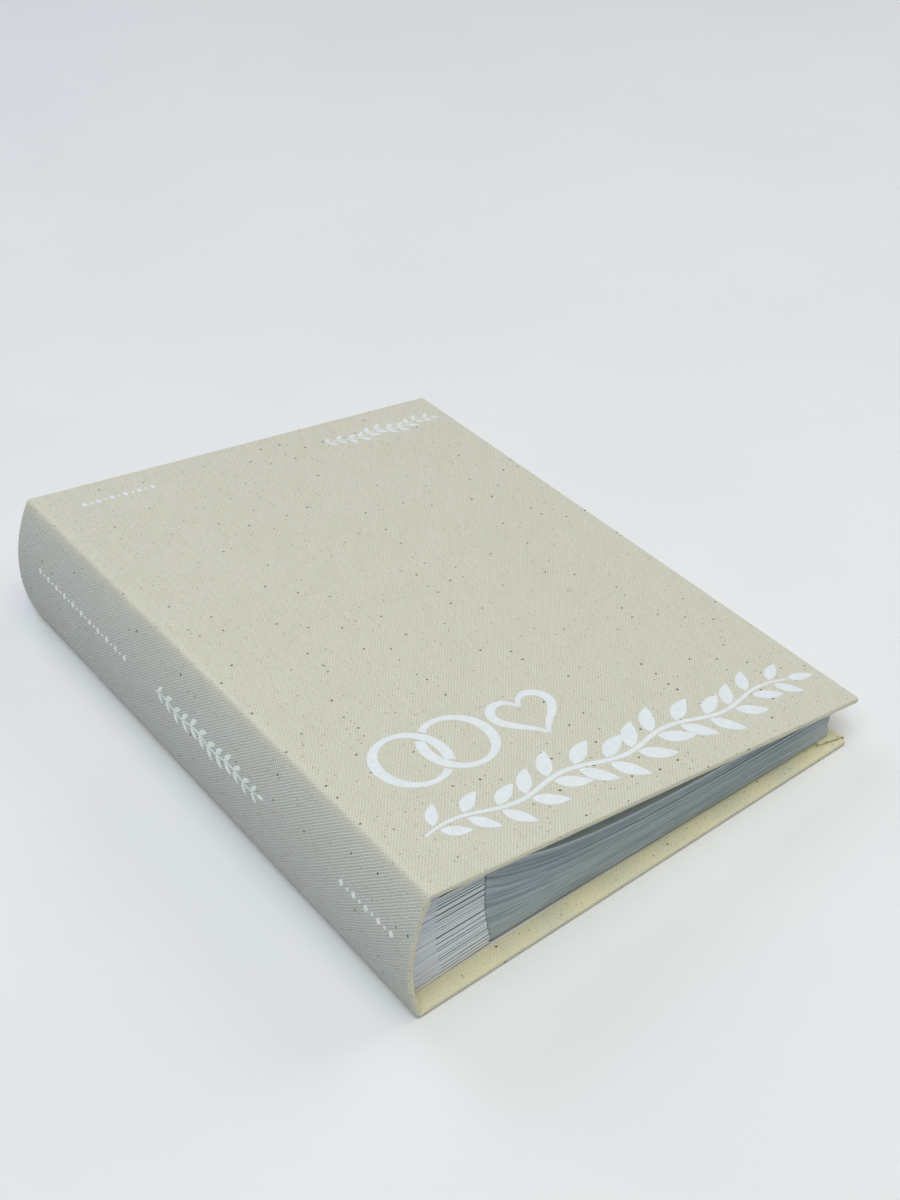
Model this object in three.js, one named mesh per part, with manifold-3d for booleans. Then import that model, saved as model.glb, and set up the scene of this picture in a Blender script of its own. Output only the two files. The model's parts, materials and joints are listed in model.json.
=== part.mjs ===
// A case-bound wedding guest book with slip-in pocket leaves.
// Two stiff covers and a rounded spine hold a wedge-shaped block: thick at the spine, thin at the fore-edge.
//
// Frame: millimetres, +X from the spine to the fore-edge, +Y from the tail (foot) of the book to its head,
// +Z up. The back cover lies on the plane Z = 0, and the origin is the middle of the book's footprint.
//
// Two sets of working coordinates are used:
//   profile: X and Z measured from the back joint, where the spine meets the back cover;
//   cover:   each cover is built flat, u along its width from its joint, y along its height,
//            w from its cloth face inwards.

import * as THREE from 'three';
import { mergeVertices } from 'three/addons/utils/BufferGeometryUtils.js';
import Module from 'manifold-3d';

const wasm = await Module();
wasm.setup();

// ---------------------------------------------------------------- driving dimensions

const bookHeight = 330;
const coverWidth = 245.2;
const coverThickness = 3;
const frontSlopeDeg = 9.5;

// The front joint, measured from the back joint.
const frontJointX = 8.5;
const frontJointZ = 67;
// How far the rounded spine stands out from the straight line between its joints.
const spineBulge = 7.6;

// Layers of the case, from the outside in.
const clothThickness = 0.45;
const layerGap = 0.1;
const turnInWidth = 16;
const liningThickness = 0.3;
const endpaperThickness = 0.25;
const endpaperMargin = 12;
// At each joint the cloth folds between the boards, so the covers' boards begin, and the spine's board
// and cloth solids end, a little way from the joint's line.
const coverStart = 4.5;
const spineEndGap = 3.4;
const endpaperStart = 6;

// The block of leaves.
const leafCount = 34;
const leafThickness = 0.32;
const leafCornerRadius = 2;
const blockHeight = 311;
const blockClearance = 0.45;
// The stubs fan up from the back cover, so the block's underside stands a little off it where they end.
const stubLift = 2.2;
const foreEdgeX = 239.4;
const stubEndX = 44.2;
const stubEndHollow = 2.5;
const stubShare = 0.62;
const glueDepth = 3;
const stubToHinge = 0.3;
const hingeToLeaf = 1.6;

// ---------------------------------------------------------------- worked-out places

const frontSlope = THREE.MathUtils.degToRad(frontSlopeDeg);
const halfHeight = bookHeight / 2;

// The outer face of the spine is an arc through both joints.
const chord = Math.hypot(frontJointX, frontJointZ);
const spineRadius = (chord ** 2 / 4 + spineBulge ** 2) / (2 * spineBulge);
const chordAngle = Math.atan2(frontJointZ, frontJointX);
const centreDistance = spineRadius - spineBulge;
const spineCentre = new THREE.Vector2(
  frontJointX / 2 + centreDistance * Math.sin(chordAngle),
  frontJointZ / 2 - centreDistance * Math.cos(chordAngle),
);
const halfSpineAngle = Math.asin(chord / 2 / spineRadius);
const spineMiddleAngle = chordAngle + Math.PI / 2;
const spineEndAngle = halfSpineAngle - spineEndGap / spineRadius;
const spineTopAngle = spineMiddleAngle - spineEndAngle;
const spineBottomAngle = spineMiddleAngle + spineEndAngle;

const boardDepth = clothThickness + layerGap;
const spineBoardThickness = coverThickness - 2 * boardDepth;
const liningDepth = boardDepth + spineBoardThickness + layerGap;
const blockDepth = coverThickness + layerGap;

const endpaperDepth = coverThickness + layerGap;
const blockFloor = endpaperDepth + endpaperThickness + blockClearance;

// The book's outermost X, to put the origin in the middle of the footprint.
const spineOutermostX = spineCentre.x - spineRadius;
const frontEdgeX = frontJointX + coverWidth * Math.cos(frontSlope);
const middleX = (spineOutermostX + frontEdgeX) / 2;

// ---------------------------------------------------------------- materials

function material(colour, roughness) {
  return new THREE.MeshStandardMaterial({ color: colour, roughness, metalness: 0 });
}

const bookCloth = material('#d6d0bb', 0.9);
const greyboard = material('#a49c8c', 0.95);
const whitePaper = material('#eceae4', 0.8);
const liningPaper = material('#d9cfb4', 0.9);
const stubCard = material('#f1f2f3', 0.7);
const pocketFilm = material('#c3cbcf', 0.25);

// ---------------------------------------------------------------- helpers

// A closed geometry as a manifold solid.
function toSolid(geometry) {
  const bare = geometry.clone();
  bare.deleteAttribute('normal');
  bare.deleteAttribute('uv');
  const merged = mergeVertices(bare);
  return new wasm.Manifold(new wasm.Mesh({
    numProp: 3,
    vertProperties: new Float32Array(merged.attributes.position.array),
    triVerts: new Uint32Array(merged.index.array),
  }));
}

function toGeometry(solid) {
  const result = solid.getMesh();
  const geometry = new THREE.BufferGeometry();
  geometry.setAttribute('position', new THREE.BufferAttribute(result.vertProperties, 3));
  geometry.setIndex(new THREE.BufferAttribute(result.triVerts, 1));
  geometry.computeVertexNormals();
  return geometry;
}

function box(low, high) {
  const geometry = new THREE.BoxGeometry(high[0] - low[0], high[1] - low[1], high[2] - low[2]);
  geometry.translate((low[0] + high[0]) / 2, (low[1] + high[1]) / 2, (low[2] + high[2]) / 2);
  return geometry;
}

// A flat outline drawn in X and Z, drawn out along Y between two places.
function alongY(shape, low, high, curveSegments = 24) {
  const geometry = new THREE.ExtrudeGeometry(shape, {
    depth: high - low,
    bevelEnabled: false,
    curveSegments,
  });
  geometry.rotateX(Math.PI / 2);
  geometry.translate(0, high, 0);
  return geometry;
}

function piece(name, geometry, pieceMaterial) {
  const mesh = new THREE.Mesh(geometry, pieceMaterial);
  mesh.name = name;
  return mesh;
}

// ---------------------------------------------------------------- covers

// The stiff board inside a cover.
function coverBoard(name) {
  const low = [coverStart, boardDepth - halfHeight, boardDepth];
  const high = [coverWidth - boardDepth, halfHeight - boardDepth, coverThickness - boardDepth];
  return piece(name, box(low, high), greyboard);
}

// The cloth over the cover's outside, folded over three edges and glued down inside as turn-ins.
function coverCloth(name) {
  const wrap = toSolid(box(
    [coverStart, -halfHeight, 0],
    [coverWidth, halfHeight, coverThickness],
  ));
  const boardSpace = toSolid(box(
    [coverStart - 1, clothThickness - halfHeight, clothThickness],
    [coverWidth - clothThickness, halfHeight - clothThickness, coverThickness - clothThickness],
  ));
  const insideWindow = toSolid(box(
    [coverStart - 1, turnInWidth - halfHeight, coverThickness - 2 * clothThickness],
    [coverWidth - turnInWidth, halfHeight - turnInWidth, coverThickness + 1],
  ));
  const cloth = wrap.subtract(boardSpace).subtract(insideWindow);
  return piece(name, toGeometry(cloth), bookCloth);
}

// The sheet pasted over the inside of a cover, which hides the raw edges of the turn-ins.
function coverEndpaper(name) {
  const low = [endpaperStart, endpaperMargin - halfHeight, endpaperDepth];
  const high = [
    coverWidth - endpaperMargin,
    halfHeight - endpaperMargin,
    endpaperDepth + endpaperThickness,
  ];
  return piece(name, box(low, high), whitePaper);
}

function cover(side) {
  const group = new THREE.Group();
  group.add(coverBoard(`${side}_board`));
  group.add(coverCloth(`${side}_cloth`));
  group.add(coverEndpaper(`${side}_endpaper`));
  return group;
}

// The front cover is a back cover turned over, sloping down from the front joint.
function frontCover() {
  const turnedOver = cover('front');
  turnedOver.rotation.x = Math.PI;
  const group = new THREE.Group();
  group.add(turnedOver);
  group.position.set(frontJointX, 0, frontJointZ);
  group.rotation.y = frontSlope;
  return group;
}

// ---------------------------------------------------------------- spine

// A curved layer of the spine, between two depths in from its outer face.
function spineLayerShape(outerDepth, innerDepth) {
  const { x, y } = spineCentre;
  const shape = new THREE.Shape();
  shape.absarc(x, y, spineRadius - outerDepth, spineTopAngle, spineBottomAngle, false);
  shape.absarc(x, y, spineRadius - innerDepth, spineBottomAngle, spineTopAngle, true);
  shape.closePath();
  return shape;
}

function spineBoard() {
  const shape = spineLayerShape(boardDepth, boardDepth + spineBoardThickness);
  const end = halfHeight - boardDepth;
  return piece('spine_board', alongY(shape, -end, end), greyboard);
}

// The spine's cloth wraps the head and tail ends of the spine board and turns in behind it.
function spineCloth() {
  const wrap = toSolid(alongY(spineLayerShape(0, coverThickness), -halfHeight, halfHeight));
  const end = halfHeight - clothThickness;
  const boardShape = spineLayerShape(clothThickness, coverThickness - clothThickness);
  const boardSpace = toSolid(alongY(boardShape, -end, end));
  const windowEnd = halfHeight - turnInWidth;
  const windowShape = spineLayerShape(coverThickness - 2 * clothThickness, coverThickness + 1);
  const insideWindow = toSolid(alongY(windowShape, -windowEnd, windowEnd));
  const cloth = wrap.subtract(boardSpace).subtract(insideWindow);
  return piece('spine_cloth', toGeometry(cloth), bookCloth);
}

// The crash lining glued inside the spine, between the turn-ins.
function spineLining() {
  const shape = spineLayerShape(liningDepth, liningDepth + liningThickness);
  const end = halfHeight - turnInWidth - layerGap;
  return piece('spine_lining', alongY(shape, -end, end), liningPaper);
}

// ---------------------------------------------------------------- block

// The block's upper limit at a place across the book: the inside of the front endpaper, less a clearance.
function blockCeiling(x) {
  return frontJointZ - (x - frontJointX) * Math.tan(frontSlope) - blockFloor / Math.cos(frontSlope);
}

// The block's underside: rising from the spine to the stubs' ends, then falling to the fore-edge.
function blockBottom(x) {
  const along = x < stubEndX ? x / stubEndX : (foreEdgeX - x) / (foreEdgeX - stubEndX);
  return blockFloor + stubLift * along;
}

// Height inside the wedge-shaped block: share 0 is its underside, share 1 its top, under the front cover.
function blockZ(x, share) {
  return blockBottom(x) + share * (blockCeiling(x) - blockBottom(x));
}

// Where the stubs end and the pocket leaves hang. The line is hollow, as the leaves are drawn to the spine.
function stubEnd(share) {
  return stubEndX - stubEndHollow * 4 * share * (1 - share);
}

// The inner face of the spine at a height, at a depth in from the spine's outer face.
function spineInsideX(z, depth) {
  return spineCentre.x - Math.sqrt((spineRadius - depth) ** 2 - (z - spineCentre.y) ** 2);
}

// Card stubs standing out of the glue that holds the block to the spine: one comb of stubs and glue.
function bindingBlock() {
  const points = [];
  for (let i = 0; i < leafCount; i += 1) {
    const middle = (i + 0.5) / leafCount;
    const half = stubShare / 2 / leafCount;
    const outer = stubEnd(middle) - stubToHinge;
    for (const share of [middle - half, middle + half]) {
      const root = spineInsideX(blockZ(0, share), blockDepth + glueDepth);
      const rootPoint = new THREE.Vector2(root, blockZ(root, share));
      const tipPoint = new THREE.Vector2(outer, blockZ(outer, share));
      points.push(...(share < middle ? [rootPoint, tipPoint] : [tipPoint, rootPoint]));
    }
  }
  // The glued back follows the spine from the last stub down to the first.
  const arcSteps = 12;
  const topZ = points[points.length - 1].y;
  const bottomZ = points[0].y;
  for (let step = 0; step <= arcSteps; step += 1) {
    const z = topZ + (bottomZ - topZ) * step / arcSteps;
    points.push(new THREE.Vector2(spineInsideX(z, blockDepth), z));
  }
  const shape = new THREE.Shape(points);
  return piece('binding_block', alongY(shape, -blockHeight / 2, blockHeight / 2), stubCard);
}

// One pocket leaf, flat, from its hinge line towards the fore-edge.
function leafGeometry(length) {
  const half = blockHeight / 2;
  const r = leafCornerRadius;
  const shape = new THREE.Shape();
  shape.moveTo(hingeToLeaf, -half);
  shape.lineTo(length - r, -half);
  shape.absarc(length - r, r - half, r, -Math.PI / 2, 0, false);
  shape.lineTo(length, half - r);
  shape.absarc(length - r, half - r, r, 0, Math.PI / 2, false);
  shape.lineTo(hingeToLeaf, half);
  shape.closePath();
  const geometry = new THREE.ExtrudeGeometry(shape, {
    depth: leafThickness,
    bevelEnabled: false,
    curveSegments: 3,
  });
  geometry.translate(0, 0, -leafThickness / 2);
  return geometry;
}

// A leaf hangs from the outer end of its stub and lies at its own slope in the wedge.
function leaf(i) {
  const share = (i + 0.5) / leafCount;
  const hingeX = stubEnd(share);
  const hingeZ = blockZ(hingeX, share);
  const slope = Math.atan2(hingeZ - blockZ(foreEdgeX, share), foreEdgeX - hingeX);
  const length = (foreEdgeX - hingeX) / Math.cos(slope);
  const name = `leaf_${String(i + 1).padStart(2, '0')}`;
  const mesh = piece(name, leafGeometry(length), pocketFilm);
  mesh.position.set(hingeX, 0, hingeZ);
  mesh.rotation.y = slope;
  return mesh;
}

// ---------------------------------------------------------------- the book

const book = new THREE.Group();
book.name = 'wedding_guest_book';
book.position.x = -middleX;
book.add(cover('back'));
book.add(spineBoard());
book.add(spineCloth());
book.add(spineLining());
book.add(bindingBlock());
for (let i = 0; i < leafCount; i += 1) {
  book.add(leaf(i));
}
book.add(frontCover());

export default book;
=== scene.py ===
"""A wedding guest book with a cloth case and slip-in pocket leaves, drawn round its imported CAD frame."""

import json
import random
from math import acos, atan2, copysign, cos, exp, hypot, pi, radians, sin, sqrt

import bmesh
import bpy
from mathutils import Matrix, Vector, noise


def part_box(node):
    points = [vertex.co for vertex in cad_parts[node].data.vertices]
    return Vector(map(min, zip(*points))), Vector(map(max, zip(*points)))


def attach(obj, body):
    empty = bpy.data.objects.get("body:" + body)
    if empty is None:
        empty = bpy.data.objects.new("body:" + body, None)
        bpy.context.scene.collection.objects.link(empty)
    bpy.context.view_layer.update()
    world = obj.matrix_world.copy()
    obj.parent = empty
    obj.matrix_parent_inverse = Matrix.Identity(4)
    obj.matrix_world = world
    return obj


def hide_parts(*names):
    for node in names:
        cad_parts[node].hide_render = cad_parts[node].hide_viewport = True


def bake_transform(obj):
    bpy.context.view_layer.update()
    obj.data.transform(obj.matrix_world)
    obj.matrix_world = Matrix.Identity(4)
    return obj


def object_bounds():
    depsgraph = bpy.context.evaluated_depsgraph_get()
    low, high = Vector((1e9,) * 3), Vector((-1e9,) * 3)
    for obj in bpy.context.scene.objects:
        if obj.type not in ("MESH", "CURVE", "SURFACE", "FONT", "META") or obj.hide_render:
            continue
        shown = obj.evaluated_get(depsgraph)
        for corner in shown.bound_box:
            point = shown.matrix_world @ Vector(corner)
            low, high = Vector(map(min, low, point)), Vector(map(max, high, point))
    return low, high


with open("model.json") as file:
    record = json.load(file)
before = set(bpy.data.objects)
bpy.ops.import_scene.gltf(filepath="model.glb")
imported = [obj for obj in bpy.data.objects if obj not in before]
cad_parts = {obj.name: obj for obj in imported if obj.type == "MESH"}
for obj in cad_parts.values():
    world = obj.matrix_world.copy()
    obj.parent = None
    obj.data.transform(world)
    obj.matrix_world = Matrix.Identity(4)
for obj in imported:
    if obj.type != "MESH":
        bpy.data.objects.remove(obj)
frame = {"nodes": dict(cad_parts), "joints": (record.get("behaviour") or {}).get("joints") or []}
cad_low, cad_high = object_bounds()
MM = 0.001

# ---------------- places, from the frame

joint_at = {j["name"]: Vector(j["pos_m"]) for j in frame["joints"]}
back_joint = joint_at["back_joint"]
front_joint = joint_at["front_joint"]
cover_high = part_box("back_cloth")[1]
half_height = cover_high.y
cover_thickness = cover_high.z
cover_width = cover_high.x - back_joint.x
front_slope = acos((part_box("front_cloth")[1].x - front_joint.x) / cover_width)
block_low, block_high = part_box("binding_block")
fore_edge_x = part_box("leaf_01")[1].x
leaf_names = sorted(n for n in frame["nodes"] if n.startswith("leaf_"))
leaf_count = len(leaf_names)

# ---------------- sizes of what is only drawn here

CLOTH_THICKNESS = 0.45 * MM
EDGE_RADIUS = 0.95 * MM
EDGE_HOLLOW = 0.06 * MM
TURN_IN = 16 * MM
FLAP_WIDTH = 12.6 * MM
FLAP_LENGTH = 11.4 * MM
FLAP_CORNER_INSET = 2.2 * MM
FLAP_END_INSET = 4.9 * MM
FLAP_RISE = 1.25 * MM
FRONT_RIDGE_RADIUS = 2.3 * MM
BACK_RIDGE_RADIUS = 3.0 * MM
WARP_PITCH = 0.82 * MM
WEFT_PITCH = 0.99 * MM
PRINT_THICKNESS = 0.09 * MM
# The cloth's vertices carry a tone: above 0 it is yellower, and over the ridge lighter too, partly wear and
# partly a painted highlight; below 0, as on the spine, it is cooler, a painted cool light.
SPINE_TONE = -0.75
FLAP_TONE = 0.9
SHARP_ANGLE = radians(40)

ENDPAPER_MARGIN = 9 * MM
ENDPAPER_THICKNESS = 0.22 * MM

FILM_THICKNESS = 0.34 * MM
POCKET_ROWS = 3
MEMO_STRIP = 36 * MM
POCKET_MARGIN = 6 * MM
POCKET_FILL = 0.96
WELD_WIDTH = 2.4 * MM
WELD_THICKNESS = 0.8 * FILM_THICKNESS
LEAF_SETTLING = 39 * MM
LEAF_SKEW = 0.013
TOP_LEAVES_FROM, TOP_DIP, TOP_DIP_AT = 23, 5.0 * MM, 5 * MM
FILM_ROOT = 0.40
# Painted shade of the front cover over the upper stubs.
UPPER_STUB_PAINTED_SHADE = 0.40
CUT_SLANT = 0.2 * MM
ROOT_NARROWING = 2.5 * MM
END_PITCH = 0.61 * MM


def flat_xz(v):
    """A point of the frame in cross-section, as (x, z)."""
    return Vector((v.x, v.z))


def in_frame(p, y=0.0):
    """The point of the frame at a point of the cross-section, and that y."""
    return Vector((p.x, y, p.y))


def smooth(t):
    """Smooth step from 0 to 1."""
    t = min(1.0, max(0.0, t))
    return t * t * (3 - 2 * t)


def run_lengths(places):
    """How far along the line through them each of these places is."""
    lengths = [0.0]
    for a, b in zip(places, places[1:]):
        lengths.append(lengths[-1] + hypot(b[0] - a[0], b[1] - a[1]))
    return lengths


def steps(low, high, size):
    """Places from low to high, about size apart, ends included."""
    count = max(1, round((high - low) / size))
    return [low + (high - low) * k / count for k in range(count + 1)]


# ---------------- the case in cross-section

spine_a = flat_xz(back_joint)
spine_b = flat_xz(front_joint)
chord = spine_b - spine_a
spine_along = chord.normalized()
spine_out = Vector((-spine_along.y, spine_along.x))
spine_points = [flat_xz(v.co) for v in frame["nodes"]["spine_cloth"].data.vertices]
spine_bulge = max((p - spine_a).dot(spine_out) for p in spine_points)
spine_radius = (chord.length_squared / 4 + spine_bulge**2) / (2 * spine_bulge)
spine_centre = (spine_a + spine_b) / 2 - spine_out * (spine_radius - spine_bulge)


class CaseHalf:
    """The cloth's outer face in cross-section, from the middle of the spine over one joint to the fore-edge.
    s is the distance along it, and w the depth in from it."""

    def __init__(self, joint, along, inward, ridge_radius, side):
        self.joint, self.along, self.inward, self.ridge_radius = joint, along, inward, ridge_radius
        self.side = side
        # A ridge of this radius touches the spine's arc inside and the cover's face.
        q = joint + inward * ridge_radius - spine_centre
        reach = spine_radius - ridge_radius
        self.run_in = -q.dot(along) - sqrt(q.dot(along) ** 2 - q.length_squared + reach**2)
        self.ridge_centre = joint + along * self.run_in + inward * ridge_radius
        touch = (self.ridge_centre - spine_centre).normalized()
        self.turn = 1 if touch.x * spine_out.y - touch.y * spine_out.x > 0 else -1
        self.spine_length = spine_radius * acos(max(-1, min(1, touch.dot(spine_out))))
        self.touch = touch
        self.ridge_length = ridge_radius * acos(max(-1, min(1, touch.dot(-inward))))
        self.ridge_end = self.spine_length + self.ridge_length
        self.length = self.ridge_end + cover_width - self.run_in

    def turned(self, direction, angle):
        """direction turned by angle, the way the path goes."""
        a = -self.turn * angle
        return Vector((
            direction.x * cos(a) - direction.y * sin(a),
            direction.x * sin(a) + direction.y * cos(a),
        ))

    def at(self, s):
        """(point, inward direction) at s, in cross-section."""
        if s < self.spine_length:
            out = self.turned(spine_out, s / spine_radius)
            return spine_centre + out * spine_radius, -out
        if s < self.ridge_end:
            out = self.turned(self.touch, (s - self.spine_length) / self.ridge_radius)
            return self.ridge_centre + out * self.ridge_radius, -out
        return self.joint + self.along * (s - self.ridge_end + self.run_in), self.inward

    def place(self, s, y, w=0.0):
        """The point of the frame at s, y and depth w."""
        p, inward = self.at(s)
        return in_frame(p + inward * w, y)

    def on_cover(self, u):
        """s at a distance u along the cover from its joint."""
        return self.ridge_end + u - self.run_in

    def lift(self, s, y):
        """How far the cloth is set in: by the board's slight unevenness, which fades out towards the cover's
        edges and the spine, and by a groove along the edges, deepest 1.4 to 1.7 mm in."""
        cover = smooth((s - self.ridge_end) / (20 * MM)) * smooth((self.length - s) / (30 * MM))
        cover *= smooth((half_height - abs(y)) / (25 * MM))
        from_edge = min(self.length - s, half_height - abs(y))
        groove = smooth((from_edge - 0.9 * MM) / (0.5 * MM)) * smooth((2.9 * MM - from_edge) / (1.2 * MM))
        uneven = cover * BOARD_UNEVENNESS / 2 * (1 + noise.noise(Vector((s * 14, y * 14, self.side))))
        return uneven + groove * EDGE_GROOVE

    def thickness(self, s):
        """The wrapped case is thinner where it has no board, at the joint."""
        middle = (self.spine_length + self.ridge_end) / 2
        return cover_thickness - JOINT_DIP * (1 - smooth((abs(s - middle) - JOINT_FLAT) / JOINT_FADE))


BOARD_UNEVENNESS = 0.16 * MM
EDGE_GROOVE = 0.13 * MM
JOINT_DIP, JOINT_FLAT, JOINT_FADE = 0.7 * MM, 1.2 * MM, 3.0 * MM

front_half = CaseHalf(
    spine_b,
    Vector((cos(front_slope), -sin(front_slope))),
    Vector((-sin(front_slope), -cos(front_slope))),
    FRONT_RIDGE_RADIUS,
    1,
)
back_half = CaseHalf(spine_a, Vector((1, 0)), Vector((0, 1)), BACK_RIDGE_RADIUS, -1)

# ---------------- mesh helpers


def add_object(name, data):
    """An object with that data, in the scene."""
    obj = bpy.data.objects.new(name, data)
    bpy.context.scene.collection.objects.link(obj)
    return obj


class Builder:
    """Collects faces whose corners carry a place in the frame and a place on the flat sheet."""

    def __init__(self):
        self.bm = bmesh.new()
        self.uv = self.bm.loops.layers.uv.new("flat")
        self.tone = self.bm.verts.layers.float.new("tone")

    def vert(self, co, tone=0.0):
        v = self.bm.verts.new(co)
        v[self.tone] = tone
        return v

    def face(self, corners, slot=0):
        """A face between (vert, flat) corners. None where two are one, or where the face is there already."""
        try:
            f = self.bm.faces.new([vert for vert, _ in corners])
        except ValueError:
            return None
        f.material_index = slot
        f.smooth = True
        for loop, (_, flat) in zip(f.loops, corners):
            loop[self.uv].uv = flat
        return f

    def grid(self, columns, slot=lambda i, j: 0):
        """columns is a list of lists of (vert, flat). Returns the faces between them."""
        faces = []
        for i, (a, b) in enumerate(zip(columns, columns[1:])):
            for j in range(len(a) - 1):
                faces.append(self.face([a[j], b[j], b[j + 1], a[j + 1]], slot(i, j)))
        return [f for f in faces if f is not None]

    def weld(self):
        """Joins corners that lie in one place."""
        bmesh.ops.remove_doubles(self.bm, verts=self.bm.verts, dist=1e-7)
        bmesh.ops.dissolve_degenerate(self.bm, edges=self.bm.edges, dist=1e-8)

    def turn_out(self, faces=None, place=None, direction=None):
        """Makes the faces agree, and look outwards, or in that direction at the one nearest that place."""
        faces = [f for f in (faces or self.bm.faces) if f.is_valid]
        bmesh.ops.recalc_face_normals(self.bm, faces=faces)
        if place is not None:
            nearest = min(faces, key=lambda f: (f.calc_center_median() - place).length)
            if nearest.normal.dot(direction) < 0:
                bmesh.ops.reverse_faces(self.bm, faces=faces)

    def finish(self, name, materials):
        """Makes the object."""
        mesh = bpy.data.meshes.new(name)
        self.bm.to_mesh(mesh)
        self.bm.free()
        for m in materials:
            mesh.materials.append(m)
        return add_object(name, mesh)


def thicken(obj, thickness, offset):
    """Gives a single surface a thickness: offset -1 inwards, 0 both ways."""
    m = obj.modifiers.new("thickness", "SOLIDIFY")
    m.thickness = thickness
    m.offset = offset
    m.use_quality_normals = True
    graph = bpy.context.evaluated_depsgraph_get()
    mesh = bpy.data.meshes.new_from_object(obj.evaluated_get(graph))
    obj.modifiers.clear()
    obj.data = mesh
    mesh.set_sharp_from_angle(angle=SHARP_ANGLE)


# ---------------- materials


class Shader:
    """A Principled material in the making, with short calls for its nodes. A colour is (red, green, blue)."""

    def __init__(self, name, **settings):
        self.material = bpy.data.materials.new(name)
        self.material.use_nodes = True
        self.tree = self.material.node_tree
        self.bsdf = self.tree.nodes["Principled BSDF"]
        for key, value in settings.items():
            self.bsdf.inputs[key.replace("_", " ")].default_value = value

    def node(self, kind, links=None, **settings):
        """A node of that kind. links gives its inputs, as sockets or values, and settings its properties."""
        n = self.tree.nodes.new("ShaderNode" + kind)
        for key, value in settings.items():
            setattr(n, key, value)
        for key, value in (links or {}).items():
            if isinstance(value, bpy.types.NodeSocket):
                self.tree.links.new(value, n.inputs[key])
            else:
                n.inputs[key].default_value = value
        return n

    def math(self, operation, a, b=0.0, clamp=False):
        return self.node("Math", {0: a, 1: b}, operation=operation, use_clamp=clamp).outputs[0]

    def times(self, a, b):
        return self.math("MULTIPLY", a, b)

    def together(self, a, b, share=0.5):
        """That share of a, and the rest of b."""
        return self.math("ADD", self.times(a, share), self.times(b, 1 - share))

    def between(self, value, low, high, to_low=0.0, to_high=1.0):
        """value from low..high to to_low..to_high, smoothly, and flat outside."""
        links = {"Value": value, 1: low, 2: high, 3: to_low, 4: to_high}
        return self.node("MapRange", links, interpolation_type="SMOOTHSTEP").outputs[0]

    def mix(self, factor, a, b, blend="MIX"):
        """Colour a where factor is 0, and b where it is 1. The node's colour inputs are 6 and 7."""
        a, b = (c if isinstance(c, bpy.types.NodeSocket) else (*c, 1) for c in (a, b))
        return self.node("Mix", {0: factor, 6: a, 7: b}, data_type="RGBA", blend_type=blend).outputs[2]

    def tone(self):
        """The tone that the mesh's vertices carry."""
        return self.node("Attribute", attribute_name="tone").outputs["Fac"]

    def flat(self, per_metre, shift=(0, 0)):
        """The place on the flat sheet, scaled."""
        uv = self.node("UVMap", uv_map="flat").outputs[0]
        links = {"Vector": uv, "Scale": (*per_metre, 1), "Location": (*shift, 0)}
        return self.node("Mapping", links).outputs[0]

    def in_place(self, per_metre):
        """The place in the frame, scaled."""
        where = self.node("TexCoord").outputs["Object"]
        return self.node("Mapping", {"Vector": where, "Scale": per_metre}).outputs[0]

    def noise(self, vector, detail=2.0, rough=0.5, output="Fac"):
        links = {"Vector": vector, "Scale": 1.0, "Detail": detail, "Roughness": rough}
        return self.node("TexNoise", links).outputs[output]

    def stray(self, place, per_metre, reach, seed=0, detail=2.0):
        """place, moved to and fro by a noise on the flat sheet."""
        colour = self.noise(self.flat((per_metre, per_metre), (seed, 0)), detail, output="Color")
        away = self.node("VectorMath", {0: colour, 1: (0.5, 0.5, 0.5)}, operation="SUBTRACT").outputs[0]
        shift = self.node("VectorMath", {0: away, "Scale": reach}, operation="SCALE").outputs[0]
        return self.node("VectorMath", {0: place, 1: shift}, operation="ADD").outputs[0]

    def bump(self, height, strength, distance, normal=None):
        links = {"Height": height, "Strength": strength, "Distance": distance}
        if normal is not None:
            links["Normal"] = normal
        return self.node("Bump", links).outputs[0]

    def use(self, colour, normal, rough):
        """The finished material."""
        for key, socket in (("Base Color", colour), ("Normal", normal), ("Roughness", rough)):
            self.tree.links.new(socket, self.bsdf.inputs[key])
        return self.material


def weave_height(s):
    """A plain weave: where threads cross, the warp and the weft stand proud by turns. Returns (height, over),
    where over is 1 on a warp thread's crown and 0 on a weft's."""
    place = s.stray(s.flat((1 / WARP_PITCH, 1 / WEFT_PITCH)), 140, 0.9, detail=3.0)
    split = s.node("SeparateXYZ", {0: place})
    across, along = (s.math("SINE", s.times(split.outputs[k], pi)) for k in (0, 1))
    crossing = s.times(across, along)
    dome = s.math("POWER", s.math("ABSOLUTE", crossing), 0.6)
    over = s.between(crossing, -1, 1)
    return s.together(dome, over, 0.3), over


def flecks(s, spacing, low, high, share, seed):
    """Specks of husk caught in the yarn, in that share of cells of that spacing. Returns a mask."""
    cells = s.flat((1 / spacing, 1.3 / spacing), (seed, seed * 0.7))
    links = {"Vector": s.stray(cells, 1100, 1.0 * MM / spacing, seed), "Scale": 1.0}
    cell = s.node("TexVoronoi", links, voronoi_dimensions="2D")
    chance = s.node("SeparateColor", {0: cell.outputs["Color"]})
    radius = s.between(s.math("POWER", chance.outputs[0], 1.8), 0, 1, low / spacing, high / spacing)
    spot = s.between(s.math("DIVIDE", cell.outputs["Distance"], radius), 1.1, 0.6)
    return s.times(spot, s.between(chance.outputs[1], 1 - share, 1.02 - share))


# The specks in the cloth, from fine and faint to large and dark: spacing and least and greatest radius in mm,
# share of cells with a speck, seed, strength and colour.
HUSKS = (
    (2.7, 0.12, 0.34, 0.7, 8.1, 0.5, (0.33, 0.29, 0.18)),
    (5.2, 0.18, 0.52, 0.7, 4.3, 0.7, (0.25, 0.21, 0.115)),
    (11.5, 0.28, 0.8, 0.58, 1.7, 0.92, (0.085, 0.07, 0.038)),
)


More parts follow.
